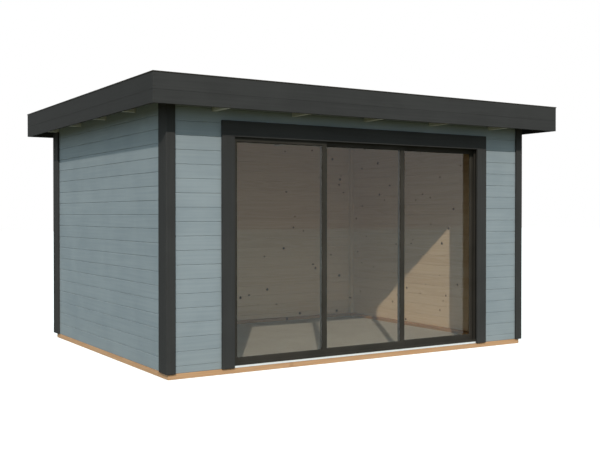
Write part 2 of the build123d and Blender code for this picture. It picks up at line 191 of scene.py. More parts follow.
def add_timber(name, batches, finishes, stands_for=()):
    """A piece made of bars: the batches' rings joined, skinned, and given grain, tone and edge marks."""
    places, grain, tone, quads, caps, numbers, eased = [], [], [], [], [], [], []
    first = 0
    for part in batches:
        rings = part["rings"]
        bars, stations, points = rings.shape[:3]
        sides, ends = skin(bars, stations, points)
        places.append(rings.reshape(-1, 3))
        grain.append(grain_places(rings, part["axis"]).reshape(-1, 3))
        tone.append(np.repeat(rng.uniform(-1, 1, bars), stations * points))
        quads.append(sides + first)
        caps.append(ends + first)
        band = np.tile(part["rounded"], (stations - 1, 1))
        band[[0, -1]] = True
        numbers.append(np.tile(part["finish"], bars * (stations - 1)))
        eased.append(np.tile(band.ravel(), bars))
        first += bars * stations * points
    side_count = sum(len(sides) for sides in quads)
    cap_count = sum(len(ends) for ends in caps)
    edge_marks = np.concatenate(eased + [np.zeros(cap_count)])
    mesh = write_mesh(name, np.concatenate(places), quads + caps, [
        ("grain", "FLOAT_VECTOR", "POINT", np.concatenate(grain)),
        ("tone", "FLOAT", "POINT", np.concatenate(tone)),
        ("eased", "FLOAT", "FACE", edge_marks),
    ])
    finish_numbers = np.concatenate(numbers + [np.zeros(cap_count, int)])
    mesh.polygons.foreach_set("material_index", finish_numbers.astype(np.int32))
    print(f"{name}: {sum(len(part['rings']) for part in batches)} bars, {side_count + cap_count} faces")
    return add_object(mesh, finishes, stands_for)


def boards(low, high, axis, ease, steps=EDGE_STEPS, end_ease=None):
    """Eased boards from their lowest to their highest corners, (n, 3) each, running along an axis."""
    low, high = np.atleast_2d(low), np.atleast_2d(high)
    ways = [(axis + 1) % 3, (axis + 2) % 3]
    sections = eased_sections(low[:, ways], high[:, ways], ease, steps)
    spans = np.stack([low[:, axis], high[:, axis]], axis=1)
    end_ease = np.min(ease) if end_ease is None else end_ease
    return straight(sections, spans, axis, end_ease)


def corner_points(x, y, z):
    """Corner points (n, 3) from lists of their coordinates, where a plain number counts for all."""
    return np.stack(np.broadcast_arrays(x, y, z), axis=-1)


def board_of(node, axis, ease):
    """One eased board that fills a node's box."""
    return boards(*box_of(node), axis, ease)


print("pieces carry the attributes grain, tone and eased")

# %% [markdown]
# ## Small words for shader trees
#
# A finish is a tree of nodes. Written out in full, each node takes several lines, so a few helpers
# place a node, mix two colours or do a sum. An input may be a number, a colour or another node's
# output, and an output is linked. Numbers that never change stay on the shader itself.

# %% Node helpers
def put(tree, kind, inputs=None, **settings):
    """Adds a node, sets its properties, and sets or links its inputs by name."""
    node = tree.nodes.new(kind)
    for title, value in settings.items():
        setattr(node, title, value)
    for title, value in (inputs or {}).items():
        feed(tree, node.inputs[title], value)
    return node


def feed(tree, socket, value):
    """Links an output to a socket, or sets the socket to a plain value."""
    if isinstance(value, bpy.types.NodeSocket):
        tree.links.new(value, socket)
    else:
        socket.default_value = value


def blend(tree, share, first, second):
    """Colour between first and second by a share from 0 to 1."""
    node = tree.nodes.new("ShaderNodeMix")
    node.data_type = "RGBA"
    for number, value in ((0, share), (6, first), (7, second)):
        feed(tree, node.inputs[number], value)
    return node.outputs[2]


def sum_of(tree, operation, first, second=0.0):
    """One step of arithmetic on values."""
    node = put(tree, "ShaderNodeMath", operation=operation)
    feed(tree, node.inputs[0], first)
    feed(tree, node.inputs[1], second)
    return node.outputs[0]


def share_of(tree, value, share):
    """A value times a share."""
    return sum_of(tree, "MULTIPLY", value, share)


def weighed(tree, first, first_share, second):
    """Two values mixed by their shares, which add up to 1."""
    return sum_of(tree, "ADD", share_of(tree, first, first_share), share_of(tree, second, 1 - first_share))


def ramp(tree, value, low, high, to_low=0.0, to_high=1.0):
    """A value stretched from the range low..high to another one, smoothly, and held at its ends."""
    spread = {"Value": value, "From Min": low, "From Max": high, "To Min": to_low, "To Max": to_high}
    return put(tree, "ShaderNodeMapRange", spread, interpolation_type="SMOOTHSTEP").outputs[0]


def stretched(tree, place, scale):
    """A place with its three ways scaled by their own numbers."""
    return put(tree, "ShaderNodeMapping", {"Vector": place, "Scale": scale}).outputs[0]


def noise(tree, place, scale=1.0, detail=2.0, distortion=0.0):
    """Soft noise from 0 to 1 at a place, with about one wave in 1 / scale metres."""
    inputs = {"Vector": place, "Scale": scale, "Detail": detail, "Distortion": distortion}
    return put(tree, "ShaderNodeTexNoise", inputs).outputs[0]


def new_group(name, inputs, outputs):
    """An empty node group with named sockets, given as {name: type}; returns it with its two ends."""
    tree = bpy.data.node_groups.new(name, "ShaderNodeTree")
    for title, kind in inputs.items():
        tree.interface.new_socket(name=title, in_out="INPUT", socket_type=f"NodeSocket{kind}")
    for title, kind in outputs.items():
        tree.interface.new_socket(name=title, in_out="OUTPUT", socket_type=f"NodeSocket{kind}")
    return tree, tree.nodes.new("NodeGroupInput").outputs, tree.nodes.new("NodeGroupOutput").inputs


def place_group(tree, group, inputs):
    """Places a shared group in a material with its own values; returns its outputs."""
    node = tree.nodes.new("ShaderNodeGroup")
    node.node_tree = group
    for title, value in inputs.items():
        feed(tree, node.inputs[title], value)
    return node.outputs


def new_finish(name, **plain):
    """A material with one Principled shader, its plain inputs set; returns material, tree and shader."""
    material = bpy.data.materials.new(name)
    material.use_nodes = True
    tree = material.node_tree
    shader = tree.nodes["Principled BSDF"]
    for title, value in plain.items():
        shader.inputs[title.replace("_", " ").title().replace("Ior", "IOR")].default_value = value
    return material, tree, shader


def own(tree, title):
    """The node that reads one of a piece's own attributes."""
    return put(tree, "ShaderNodeAttribute", attribute_name=title)


def object_place(tree):
    """A point's place in the object's own frame, in metres."""
    return put(tree, "ShaderNodeTexCoord").outputs["Object"]


def bump(tree, shader, height, depth, strength=1.0):
    """Small relief: the height, as a share of the depth in metres, bends the shader's normal."""
    inputs = {"Height": height, "Distance": depth, "Strength": strength}
    tree.links.new(put(tree, "ShaderNodeBump", inputs).outputs[0], shader.inputs["Normal"])


print("node helpers are ready")

# %% [markdown]
# ## Grain, knots, paint film and dust, shared by many finishes
#
# Pine shows soft bands of growth, fine fibres along the log, and knots as dark eyes that the bands
# flow around. Paint over it keeps a little of that relief and clouds slightly. Dust gathers low on
# the walls. On eased edges the film is thinner and lighter: worn paint that is also a painted
# highlight. Each effect is a group with named inputs, built once and placed in every finish that
# needs it.

# %% Shared groups
BAND_STRETCH = (0.55, 13.0, 13.0)
FIBRE_STRETCH = (7.0, 330.0, 330.0)
BAND_COUNT, BAND_SWIRL = 42.0, 0.4
KNOT_RADIUS = 0.0125
KNOT_EDGE = 0.005
KNOT_SIZES = (0.45, 1.25)
KNOT_FLOW, KNOT_PUSH = 0.05, 0.12
KNOT_RAGGED = (60.0, 110.0, 0.0)
STREAK_STRETCH = (1.6, 55.0, 55.0)
FILM_FIBRE_STRETCH = (9.0, 420.0, 420.0)
CLOUD_SCALE, PEEL_SCALE, THIN_HIGHLIGHT_SCALE, DUST_SCALE = 2.6, 700.0, 9.0, 7.0
CLOUD_SHARE, RAISED_SHARE = 0.55, 0.7


def make_timber_grain():
    """Group: bands, fibres and knots of pine from a place along, across and through the timber."""
    tree, given, wanted = new_group(
        "timber_grain",
        {"Place": "Vector", "Knot Spacing": "Float", "Knot Share": "Float"},
        {"Bands": "Float", "Fibres": "Float", "Knots": "Float", "Knot Rims": "Float"},
    )
    shrink = sum_of(tree, "DIVIDE", 1.0, given["Knot Spacing"])
    cell_place = put(tree, "ShaderNodeVectorMath", {0: given["Place"]}, operation="SCALE")
    feed(tree, cell_place.inputs["Scale"], shrink)
    cells = put(tree, "ShaderNodeTexVoronoi", {"Vector": cell_place.outputs[0], "Scale": 1.0},
                voronoi_dimensions="2D")
    chance = put(tree, "ShaderNodeSeparateColor", {"Color": cells.outputs["Color"]}).outputs
    present = sum_of(tree, "LESS_THAN", chance[0], given["Knot Share"])
    radius = ramp(tree, chance[1], 0.0, 1.0, *(KNOT_RADIUS * size for size in KNOT_SIZES))
    away = share_of(tree, cells.outputs["Distance"], given["Knot Spacing"])
    ragged = noise(tree, stretched(tree, given["Place"], KNOT_RAGGED))
    away = sum_of(tree, "ADD", away, share_of(tree, ragged, KNOT_EDGE))
    past = sum_of(tree, "SUBTRACT", away, radius)
    knots = share_of(tree, ramp(tree, past, KNOT_EDGE, 0.0), present)
    rims = share_of(tree, ramp(tree, past, 4 * KNOT_EDGE, KNOT_EDGE), present)
    flow = share_of(tree, ramp(tree, away, KNOT_FLOW, 0.0), present)
    growth = noise(tree, stretched(tree, given["Place"], BAND_STRETCH), distortion=BAND_SWIRL)
    growth = sum_of(tree, "ADD", growth, share_of(tree, flow, KNOT_PUSH))
    wave = sum_of(tree, "SINE", share_of(tree, growth, BAND_COUNT))
    feed(tree, wanted["Bands"], ramp(tree, wave, -1.0, 1.0))
    feed(tree, wanted["Fibres"], noise(tree, stretched(tree, given["Place"], FIBRE_STRETCH), detail=3.0))
    feed(tree, wanted["Knots"], knots)
    feed(tree, wanted["Knot Rims"], rims)
    return tree


def make_paint_film():
    """Group: cloudiness of a paint film, its relief over the grain, and where it is thin on edges, a mask for
    lighter worn paint that also paints a highlight.
    """
    tree, given, wanted = new_group(
        "paint_film",
        {"Place": "Vector", "Grain": "Vector", "Eased": "Float"},
        {"Cloud": "Float", "Relief": "Float", "Thin Highlight": "Float"},
    )
    cloud = noise(tree, given["Place"], CLOUD_SCALE, detail=4.0, distortion=0.3)
    streaks = noise(tree, stretched(tree, given["Grain"], STREAK_STRETCH), detail=3.0)
    fibres = noise(tree, stretched(tree, given["Grain"], FILM_FIBRE_STRETCH))
    peel = noise(tree, given["Place"], PEEL_SCALE, detail=1.0)
    mixed = weighed(tree, cloud, CLOUD_SHARE, streaks)
    patchy = ramp(tree, noise(tree, given["Place"], THIN_HIGHLIGHT_SCALE, detail=3.0), 0.35, 0.75)
    feed(tree, wanted["Cloud"], ramp(tree, mixed, 0.32, 0.68))
    feed(tree, wanted["Relief"], weighed(tree, fibres, RAISED_SHARE, peel))
    feed(tree, wanted["Thin Highlight"], share_of(tree, patchy, given["Eased"]))
    return tree


def make_ground_dust():
    """Group: a mask of dust and splash that fades out above the ground, in soft patches."""
    tree, given, wanted = new_group(
        "ground_dust", {"Place": "Vector", "Reach": "Float"}, {"Dust": "Float"})
    height = put(tree, "ShaderNodeSeparateXYZ", {"Vector": given["Place"]}).outputs[2]
    faded = sum_of(tree, "SUBTRACT", 1.0, sum_of(tree, "DIVIDE", height, given["Reach"]))
    patches = noise(tree, given["Place"], DUST_SCALE, detail=5.0)
    feed(tree, wanted["Dust"], share_of(tree, ramp(tree, faded, 0.0, 1.0), patches))
    return tree


TIMBER_GRAIN = make_timber_grain()
PAINT_FILM = make_paint_film()
GROUND_DUST = make_ground_dust()
print("shared groups:", [group.name for group in (TIMBER_GRAIN, PAINT_FILM, GROUND_DUST)])

# %% [markdown]
# ## Painted timber and bare pine
#
# The walls are painted blue-grey outside and left as bare pine inside. Corner boards, casing and
# fascia have the same paint in near-black. Both paints are one function with two colours between
# which the film clouds. Bare pine mixes pale early wood with darker bands and brown knots, and four
# timbers use it: the wall's inside, the foundation beams, a darker brown pine on the beams' tops and
# inner sides that is painted shade, and the roof.

# %% Paint and pine
PAINT_GLOSS, PAINT_ROUGHNESS, PAINT_RELIEF = 0.004, (0.49, 0.63), 0.00035
DUST_REACH, DUST_SHARE, THIN_HIGHLIGHT_SHARE = 0.45, 0.22, 0.35
PINE_GLOSS, PINE_RELIEF = 0.25, 0.0004
TONE_SHARE, BAND_SHARE, FIBRE_SHARE, RIM_SHARE = 0.16, 0.34, 0.3, 0.5


def painted(name, light, dark, dust_and_highlight_colour):
    """Paint on timber: clouds between two colours, each board its own shade, thin and dusty in places; thin
    edges turn lighter, as worn paint and as a painted highlight.
    """
    material, tree, shader = new_finish(name, specular_ior_level=PAINT_GLOSS)
    place, grain = object_place(tree), own(tree, "grain").outputs["Vector"]
    film = place_group(tree, PAINT_FILM, {"Place": place, "Grain": grain,
                                          "Eased": own(tree, "eased").outputs["Fac"]})
    shade = share_of(tree, own(tree, "tone").outputs["Fac"], TONE_SHARE)
    colour = blend(tree, sum_of(tree, "ADD", film["Cloud"], shade), dark, light)
    # Thin paint on eased edges turns towards the lighter dust colour: worn paint, and a painted highlight
    # along the edges.
    colour = blend(tree, share_of(tree, film["Thin Highlight"], THIN_HIGHLIGHT_SHARE), colour, dust_and_highlight_colour)
    dust = place_group(tree, GROUND_DUST, {"Place": place, "Reach": DUST_REACH})["Dust"]
    colour = blend(tree, share_of(tree, dust, DUST_SHARE), colour, dust_and_highlight_colour)
    feed(tree, shader.inputs["Base Color"], colour)
    feed(tree, shader.inputs["Roughness"], ramp(tree, film["Cloud"], 0.0, 1.0, *PAINT_ROUGHNESS))
    bump(tree, shader, film["Relief"], PAINT_RELIEF)
    return material


def pine(name, early, late, knot, roughness, knot_spacing, knot_share):
    """Bare pine: bands between early and late wood, fine fibres, knots with a darker rim around them."""
    material, tree, shader = new_finish(name, specular_ior_level=PINE_GLOSS)
    wood = place_group(tree, TIMBER_GRAIN, {"Place": own(tree, "grain").outputs["Vector"],
                                            "Knot Spacing": knot_spacing, "Knot Share": knot_share})
    bands = share_of(tree, wood["Bands"], BAND_SHARE)
    shade = share_of(tree, own(tree, "tone").outputs["Fac"], TONE_SHARE)
    colour = blend(tree, sum_of(tree, "ADD", bands, shade), early, late)
    fibres = ramp(tree, wood["Fibres"], 0.45, 0.75)
    colour = blend(tree, share_of(tree, fibres, FIBRE_SHARE), colour, late)
    colour = blend(tree, share_of(tree, wood["Knot Rims"], RIM_SHARE), colour, late)
    colour = blend(tree, wood["Knots"], colour, knot)
    feed(tree, shader.inputs["Base Color"], colour)
    sheen = ramp(tree, wood["Fibres"], 0.2, 0.8, roughness - 0.08, roughness + 0.1)
    feed(tree, shader.inputs["Roughness"], sheen)
    bump(tree, shader, wood["Fibres"], PINE_RELIEF)
    return material


WALL_PAINT = painted("wall_paint", (0.284, 0.324, 0.360, 1), (0.244, 0.284, 0.320, 1),
                     (0.36, 0.38, 0.37, 1))
DARK_PAINT = painted("dark_paint", (0.0495, 0.049, 0.050, 1), (0.0415, 0.041, 0.042, 1),
                     (0.070, 0.072, 0.070, 1))
WALL_PINE = pine("wall_pine", (0.58, 0.445, 0.31, 1), (0.46, 0.315, 0.19, 1), (0.035, 0.016, 0.008, 1),
                 roughness=0.6, knot_spacing=0.28, knot_share=0.6)
BEAM_PINE = pine("beam_pine", (0.565, 0.33, 0.183, 1), (0.40, 0.204, 0.097, 1), (0.12, 0.035, 0.012, 1),
                 roughness=0.62, knot_spacing=0.3, knot_share=0.45)
# The ledge pine is a darker copy of the beam pine: painted shade on the beams' tops and inner sides.
SHADED_LEDGE_PINE = pine("shaded_ledge_pine", (0.31, 0.175, 0.085, 1), (0.22, 0.11, 0.045, 1), (0.05, 0.02, 0.01, 1),
                  roughness=0.65, knot_spacing=0.3, knot_share=0.45)
ROOF_PINE = pine("roof_pine", (0.56, 0.565, 0.52, 1), (0.45, 0.445, 0.395, 1), (0.14, 0.10, 0.07, 1),
                 roughness=0.65, knot_spacing=0.26, knot_share=0.4)
for finish in (WALL_PAINT, DARK_PAINT, WALL_PINE, BEAM_PINE, SHADED_LEDGE_PINE, ROOF_PINE):
    print("finish:", finish.name)

# %% [markdown]
# ## Beams and floor
#
# The pod stands on four bare beams, which make a low ledge round the room. The ledge's top and inner
# side are a darker brown pine, which is painted shade. A pale sheet floor lies inside them. The floor
# comes in large sheets, so its seams are a few faint lines.
# Sheets are boards too, wide ones, with a fine ease where they meet.

# %% Foundation beams
BEAM_EASE = 0.003
BEAM_FACES = 12
BEAM_NODES = {"beam_front": (0, 2), "beam_back": (0, 5), "beam_left": (1, 2), "beam_right": (1, 11)}


def ledge_faces(first):
    """Finish number of a beam's faces: 1 on four of them in turn, which are its top and its inner side, where
    a darker pine paints shade.
    """
    return np.isin(np.arange(BEAM_FACES), (first + np.arange(4)) % BEAM_FACES).astype(int)


beam_batches = [batch(board_of(node, axis, BEAM_EASE), axis, ledge_faces(first))
                for node, (axis, first) in BEAM_NODES.items()]
add_timber("foundation_beams", beam_batches, [BEAM_PINE, SHADED_LEDGE_PINE], BEAM_NODES)

# %% Floor sheets
SHEET_WIDTH, SHEET_LENGTH = 1.22, 2.44
SHEET_EASE = 0.0015
SHEET_COLOURS = (0.268, 0.245, 0.212, 1), (0.345, 0.318, 0.282, 1)
FLECK_STRETCH, FLECK_SHARE, SHEET_RELIEF = (210.0, 150.0, 150.0), 0.6, 0.0002
CLOUD_EDGES = (0.3, 0.7)


def cut_spans(low, high, step):
    """Spans of one step each from low to high, the last one shorter."""
    edges = np.append(np.arange(low, high, step), high)
    return np.stack([edges[:-1], edges[1:]], axis=1)


def pale_sheet():
    """A pale pressed sheet: flecks of two tones, with a matt face."""
    material, tree, shader = new_finish("floor_sheet", roughness=0.7, specular_ior_level=0.25)
    place = object_place(tree)
    flecks = put(tree, "ShaderNodeTexVoronoi", {"Vector": stretched(tree, place, FLECK_STRETCH)})
    fleck = put(tree, "ShaderNodeSeparateColor", {"Color": flecks.outputs["Color"]}).outputs[0]
    cloud = ramp(tree, noise(tree, place, 3.0, detail=3.0), *CLOUD_EDGES)
    colour = blend(tree, weighed(tree, fleck, FLECK_SHARE, cloud), *SHEET_COLOURS)
    feed(tree, shader.inputs["Base Color"], colour)
    bump(tree, shader, fleck, SHEET_RELIEF)
    return material


floor_low, floor_high = box_of("floor_deck")
across, along = np.meshgrid(np.arange(math.ceil((floor_high[0] - floor_low[0]) / SHEET_WIDTH)),
                            np.arange(math.ceil((floor_high[1] - floor_low[1]) / SHEET_LENGTH)))
sheet_x = cut_spans(floor_low[0], floor_high[0], SHEET_WIDTH)[across.ravel()]
sheet_y = cut_spans(floor_low[1], floor_high[1], SHEET_LENGTH)[along.ravel()]
sheets = boards(corner_points(sheet_x[:, 0], sheet_y[:, 0], floor_low[2]),
                corner_points(sheet_x[:, 1], sheet_y[:, 1], floor_high[2]), 1, SHEET_EASE)
add_timber("floor_sheets", [batch(sheets, 1)], [pale_sheet()], ["floor_deck"])

# %% [markdown]
# ## Walls of stacked logs
#
# Each wall is a stack of machined logs, 114 mm high and 44 mm thick, with a chamfer on every long
# edge, so that two logs meet in a V. The side walls start with a whole log and the end walls with
# half a log, as logs do that cross at the corners. One smooth wall with lines drawn on it would be
# quicker, but light catches real chamfers from every side. Rows under the roof are notched where
# rafters pass through: the row's top drops between the notch's faces, and rows above it are cut.
# The last row is planed to the slope of the roof.

# %% Where the roof lies
DECK_THICKNESS = 0.019
deck_low, deck_high = box_of("roof_deck")
EAVES = box_of("fascia_front")[0][2]


def deck_under(y):
    """Height of the roof boards' underside at y: a straight line that falls from the front to the back."""
    fallen_share = (y - deck_low[1]) / (deck_high[1] - deck_low[1])
    front, back = deck_high[2] - DECK_THICKNESS, deck_low[2]
    return front + fallen_share * (back - front)


def under_roof(rings):
    """Rings with every point above the roof boards' underside brought down to it."""
    rings[..., 2] = np.minimum(rings[..., 2], deck_under(rings[..., 1]))
    return rings


fall = deck_under(deck_low[1]) - deck_under(deck_high[1])
print("roof boards fall", round(fall * 1000), "mm to the back")

# %% Log rows
LOG_HEIGHT = 0.114
LOG_CHAMFER_DEPTH, LOG_CHAMFER_HEIGHT = 0.0045, 0.0035
LOG_END_EASE = 0.001
NOTCH_HALF, NOTCH_SLOPE = 0.023, 0.0005
RAFTER_WIDTH, RAFTER_STEP, LOOKOUT_STEP = 0.044, 0.752, 0.716
RAFTER_PLACES = RAFTER_STEP * np.arange(-2, 3)
LOOKOUT_PLACES = box_of("lookouts_left")[0][1] + RAFTER_WIDTH / 2 + LOOKOUT_STEP * np.arange(4)
LOOKOUT_UNDER = box_of("lookouts_left")[0][2]


def row_edges(first, low, high):
    """Heights of a wall's foot, its log joints and its top."""
    joints = first + LOG_HEIGHT * np.arange(round((high - low) / LOG_HEIGHT) + 2)
    return np.concatenate([[low], joints[(joints > low) & (joints < high)], [high]])


def log_sections(thick, rows, axis):
    """Chamfered sections of logs between two faces (thick) and row heights (n, 2), for a wall's axis."""
    depth, height = LOG_CHAMFER_DEPTH, LOG_CHAMFER_HEIGHT
    thick = np.broadcast_to(thick, rows.shape)
    pair = (thick, rows) if axis == 0 else (rows, thick)
    ease = (depth, height) if axis == 0 else (height, depth)
    low, high = (np.stack([pair[0][:, end], pair[1][:, end]], axis=1) for end in (0, 1))
    return eased_sections(low, high, ease, steps=1)


def whole_logs(thick, rows, axis, spans):
    """Straight logs, one for each row and span."""
    rows, spans = np.atleast_2d(rows), np.atleast_2d(spans)
    row, span = np.meshgrid(np.arange(len(rows)), np.arange(len(spans)))
    sections = log_sections(thick, rows[row.ravel()], axis)
    return under_roof(straight(sections, spans[span.ravel()], axis, LOG_END_EASE))


def notched_log(thick, row, axis, span, notches, seat):
    """The log under the eaves: its upper points drop to the notches' seat between each notch's faces."""
    half = NOTCH_HALF + NOTCH_SLOPE * np.array([1, 0, 0, 1])
    faces = notches[:, None] + half * np.array([-1, -1, 1, 1])
    ends = np.array(span)[[0, 0, 1, 1]] + LOG_END_EASE * np.array([0, 1, -1, 0])
    along = np.concatenate([ends[:2], faces.ravel(), ends[2:]])
    drop = np.concatenate([[0, 0], np.tile([0, 1, 1, 0], len(notches)), [0, 0]]) * (row[1] - seat)
    section = log_sections(thick, np.array([row]), axis)
    rings = np.repeat(section, len(along), axis=0)
    rings[[0, -1]] = drawn_in(section, LOG_END_EASE)
    upward = 1 - axis
    upper = rings[..., upward] > np.mean(row)
    rings[..., upward] -= np.where(upper, drop[:, None], 0)
    return under_roof(carried(rings[None], along[None], axis))


def between(span, notches):
    """The spans that are left of a span when the notches are cut out of it."""
    cuts = (notches[:, None] + NOTCH_HALF * np.array([-1, 1])).ravel()
    return np.concatenate([[span[0]], cuts, [span[1]]]).reshape(-1, 2)


def inner_finish(side):
    """Finish number of the eight faces of a log: 1, bare, on one flat side and the chamfers beside it."""
    corner = np.arange(8) // 2
    flat = np.arange(8) % 2 == 1
    bare = np.where(flat, corner == side, (corner == side) | (corner == (side + 1) % 4))
    return bare.astype(int)


def log_wall(axis, thick, first, low, span, notches, seat, inner_side):
    """Batches of one wall: whole rows, the notched row, and the cut rows up to the roof boards."""
    reach = deck_under(np.array(thick) if axis == 0 else np.array(span)).max()
    edges = row_edges(first, low, reach)
    rows = np.stack([edges[:-1], edges[1:]], axis=1)
    whole, cut = rows[rows[:, 1] <= seat], rows[rows[:, 0] >= seat]
    at_seat = rows[(rows[:, 0] < seat) & (rows[:, 1] > seat)][0]
    stacks = [notched_log(thick, at_seat, axis, span, notches, seat),
              whole_logs(thick, cut, axis, between(span, notches))]
    if len(whole):
        stacks.append(whole_logs(thick, whole, axis, span))
    return [batch(rings, axis, inner_finish(inner_side), steps=1) for rings in stacks]


WALL_FINISHES = [WALL_PAINT, WALL_PINE]
U_HIGH, V_HIGH, U_LOW, V_LOW = range(4)
low, high = box_of("left_wall")
print("a side wall has", len(row_edges(low[2] + LOG_HEIGHT, low[2], high[2])) - 1, "rows of logs")

# %% Side and back walls
for hand, inner_side in (("left", V_HIGH), ("right", V_LOW)):
    low, high = box_of(f"{hand}_wall")
    logs = log_wall(1, (low[0], high[0]), low[2] + LOG_HEIGHT, low[2], (low[1], high[1]),
                    LOOKOUT_PLACES, LOOKOUT_UNDER, inner_side)
    add_timber(f"{hand}_wall_logs", logs, WALL_FINISHES, [f"{hand}_wall"])

low, high = box_of("back_wall")
logs = log_wall(0, (low[1], high[1]), low[2] + LOG_HEIGHT / 2, low[2], (low[0], high[0]),
                RAFTER_PLACES, EAVES, U_LOW)
add_timber("back_wall_logs", logs, WALL_FINISHES, ["back_wall"])

# %% Front wall around the door
FRONT_NODES = ["front_wall_left", "front_wall_right", "front_wall_header"]
low, high = box_of(*FRONT_NODES)
left_end, header_low = box_of("front_wall_left")[1][0], box_of("front_wall_header")[0][2]
front_thick = (low[1], high[1])
front_edges = row_edges(low[2] + LOG_HEIGHT / 2, low[2], EAVES)
over_door = front_edges[front_edges > header_low][0]
beside = front_edges[front_edges <= over_door]
beside_rows = np.stack([beside[:-1], beside[1:]], axis=1)
beside_spans = [(low[0], left_end), (-left_end, high[0])]
logs = log_wall(0, front_thick, over_door + LOG_HEIGHT, over_door, (low[0], high[0]),
                RAFTER_PLACES, EAVES, U_HIGH)
for rings in (whole_logs(front_thick, beside_rows, 0, beside_spans),
              whole_logs(front_thick, (header_low, over_door), 0, (left_end, -left_end))):
    logs.append(batch(rings, 0, inner_finish(U_HIGH), steps=1))
add_timber("front_wall_logs", logs, WALL_FINISHES, FRONT_NODES)

# %% [markdown]
# ## Corner boards, battens and door casing
#
# Two dark boards cover the log ends at each corner, and a bare batten closes the corner inside. The
# casing is three boards round the door. All are boards with eased edges, one for each node, so each
# takes its place straight from the frame.

# %% Corner boards and battens
BOARD_EASE = 0.0025
for end in ("front", "back"):
    for hand in ("left", "right"):
        nodes = [f"corner_{part}_{end}_{hand}" for part in ("face", "return")]
        add_timber(f"corner_boards_{end}_{hand}", [batch(board_of(node, 2, BOARD_EASE), 2) for node in nodes],
                   [DARK_PAINT], nodes)

BATTEN_SIZE = 0.045
low, high = box_of("corner_battens")
corner = np.array([(-1, -1), (-1, 1), (1, -1), (1, 1)])
batten_low = np.where(corner < 0, low[:2], high[:2] - BATTEN_SIZE)
battens = boards(corner_points(*batten_low.T, low[2]),
                 corner_points(*batten_low.T + BATTEN_SIZE, high[2]), 2, BOARD_EASE)
add_timber("inner_corner_battens", [batch(battens, 2)], [WALL_PINE], ["corner_battens"])

# %% Door casing
CASING_NODES = {"casing_left": 2, "casing_right": 2, "casing_head": 0}
casing = [batch(board_of(node, axis, BOARD_EASE), axis) for node, axis in CASING_NODES.items()]
add_timber("door_casing", casing, [DARK_PAINT], CASING_NODES)

# %% [markdown]
# ## Sliding sashes
#
# Each leaf is a slim frame round its glass. Its section has a groove in the outer edge for the track,
# a slot that holds the glass and a small bevel towards it on both faces. The section is carried round
# the rectangle, and meets itself at mitred corners: at a corner, a point that lies a from the outer
# edge sits a in from both sides. Stiles and rails differ a little in width, so each way has its own a.

# %% Sash frames
LEAF_HANDS = ("left", "middle", "right")
STILE_WIDTH, RAIL_WIDTH = 0.045, 0.070
GROOVE_HALF, GROOVE_SIDE, GROOVE_BOTTOM, GROOVE_TOP = 0.005, 0.010, 0.010, 0.012
GLASS_SLOT_HALF, GLASS_REBATE = 0.0033, 0.012
BEVEL_WIDTH, BEVEL_DEPTH = 0.008, 0.006
SASH_EASE = 0.0012
COATING_COLOURS = (0.036, 0.033, 0.029, 1), (0.047, 0.042, 0.037, 1)
COATING_GLOSS, COATING_ROUGHNESS, COATING_RELIEF = 0.012, (0.38, 0.47), 0.00012


def sash_section(half, width, groove):
    """Half outline of a sash member: (in from the outer edge, forward of the glass), outer edge first."""
    return np.array([
        (groove, GROOVE_HALF), (0, GROOVE_HALF), (0, half - SASH_EASE), (SASH_EASE, half),
        (width - BEVEL_WIDTH, half), (width, half - BEVEL_DEPTH), (width, GLASS_SLOT_HALF),
        (width - GLASS_REBATE, GLASS_SLOT_HALF),
    ])


def whole_section(half, width, groove):
    """The half outline and its mirror image behind the glass, as one closed outline."""
    front = sash_section(half, width, groove)
    return np.concatenate([front, front[::-1] * (1, -1)])


def sash_rings(low, high):
    """The section at the four mitred corners, from the lower left one round by the right: (4, points, 3)."""
    half = (high[1] - low[1]) / 2
    middle = (high[1] + low[1]) / 2
    stile = whole_section(half, STILE_WIDTH, GROOVE_SIDE)
    bottom = whole_section(half, RAIL_WIDTH, GROOVE_BOTTOM)
    top = whole_section(half, RAIL_WIDTH, GROOVE_TOP)
    depth = middle - stile[:, 1]
    left, right = low[0] + stile[:, 0], high[0] - stile[:, 0]
    foot, crown = low[2] + bottom[:, 0], high[2] - top[:, 0]
    corners = ((left, foot), (right, foot), (right, crown), (left, crown))
    return np.stack([np.stack([x, depth, z], axis=1) for x, z in corners])


def volume_of(places, faces):
    """Volume inside a closed skin of quads: the sum of corner . (diagonal x diagonal) / 6 over them."""
    a, b, c, d = (places[faces[:, number]] for number in range(4))
    return np.einsum("ij,ij->i", a + b + c + d, np.cross(c - a, d - b)).sum() / 24


def frame_coating():
    """A satin dark coating on the sashes and their tracks: faint clouds, with a fine even grain."""
    material, tree, shader = new_finish("frame_coating", specular_ior_level=COATING_GLOSS)
    place = object_place(tree)
    cloud = ramp(tree, noise(tree, place, 3.5, detail=4.0), *CLOUD_EDGES)
    feed(tree, shader.inputs["Base Color"], blend(tree, cloud, *COATING_COLOURS))
    feed(tree, shader.inputs["Roughness"], ramp(tree, cloud, 0.0, 1.0, *COATING_ROUGHNESS))
    bump(tree, shader, noise(tree, place, 900.0, detail=1.0), COATING_RELIEF)
    return material


FRAME_COATING = frame_coating()
for hand in LEAF_HANDS:
    rings = sash_rings(*box_of(f"sash_{hand}"))
    stations, points = rings.shape[:2]
    number = np.arange(stations * points).reshape(stations, points)
    ahead = np.roll(number, -1, axis=0)
    loop = np.stack([number, np.roll(number, -1, axis=1), np.roll(ahead, -1, axis=1), ahead], axis=-1)
    faces = loop.reshape(-1, 4)
    places = rings.reshape(-1, 3)
    mesh = write_mesh(f"sash_frame_{hand}", places, [faces], [])
    add_object(mesh, [FRAME_COATING], [f"sash_{hand}"], f"{hand}_leaf")
    print(f"sash_frame_{hand}: {len(faces)} faces around {volume_of(places, faces) * 1000:.2f} litres")

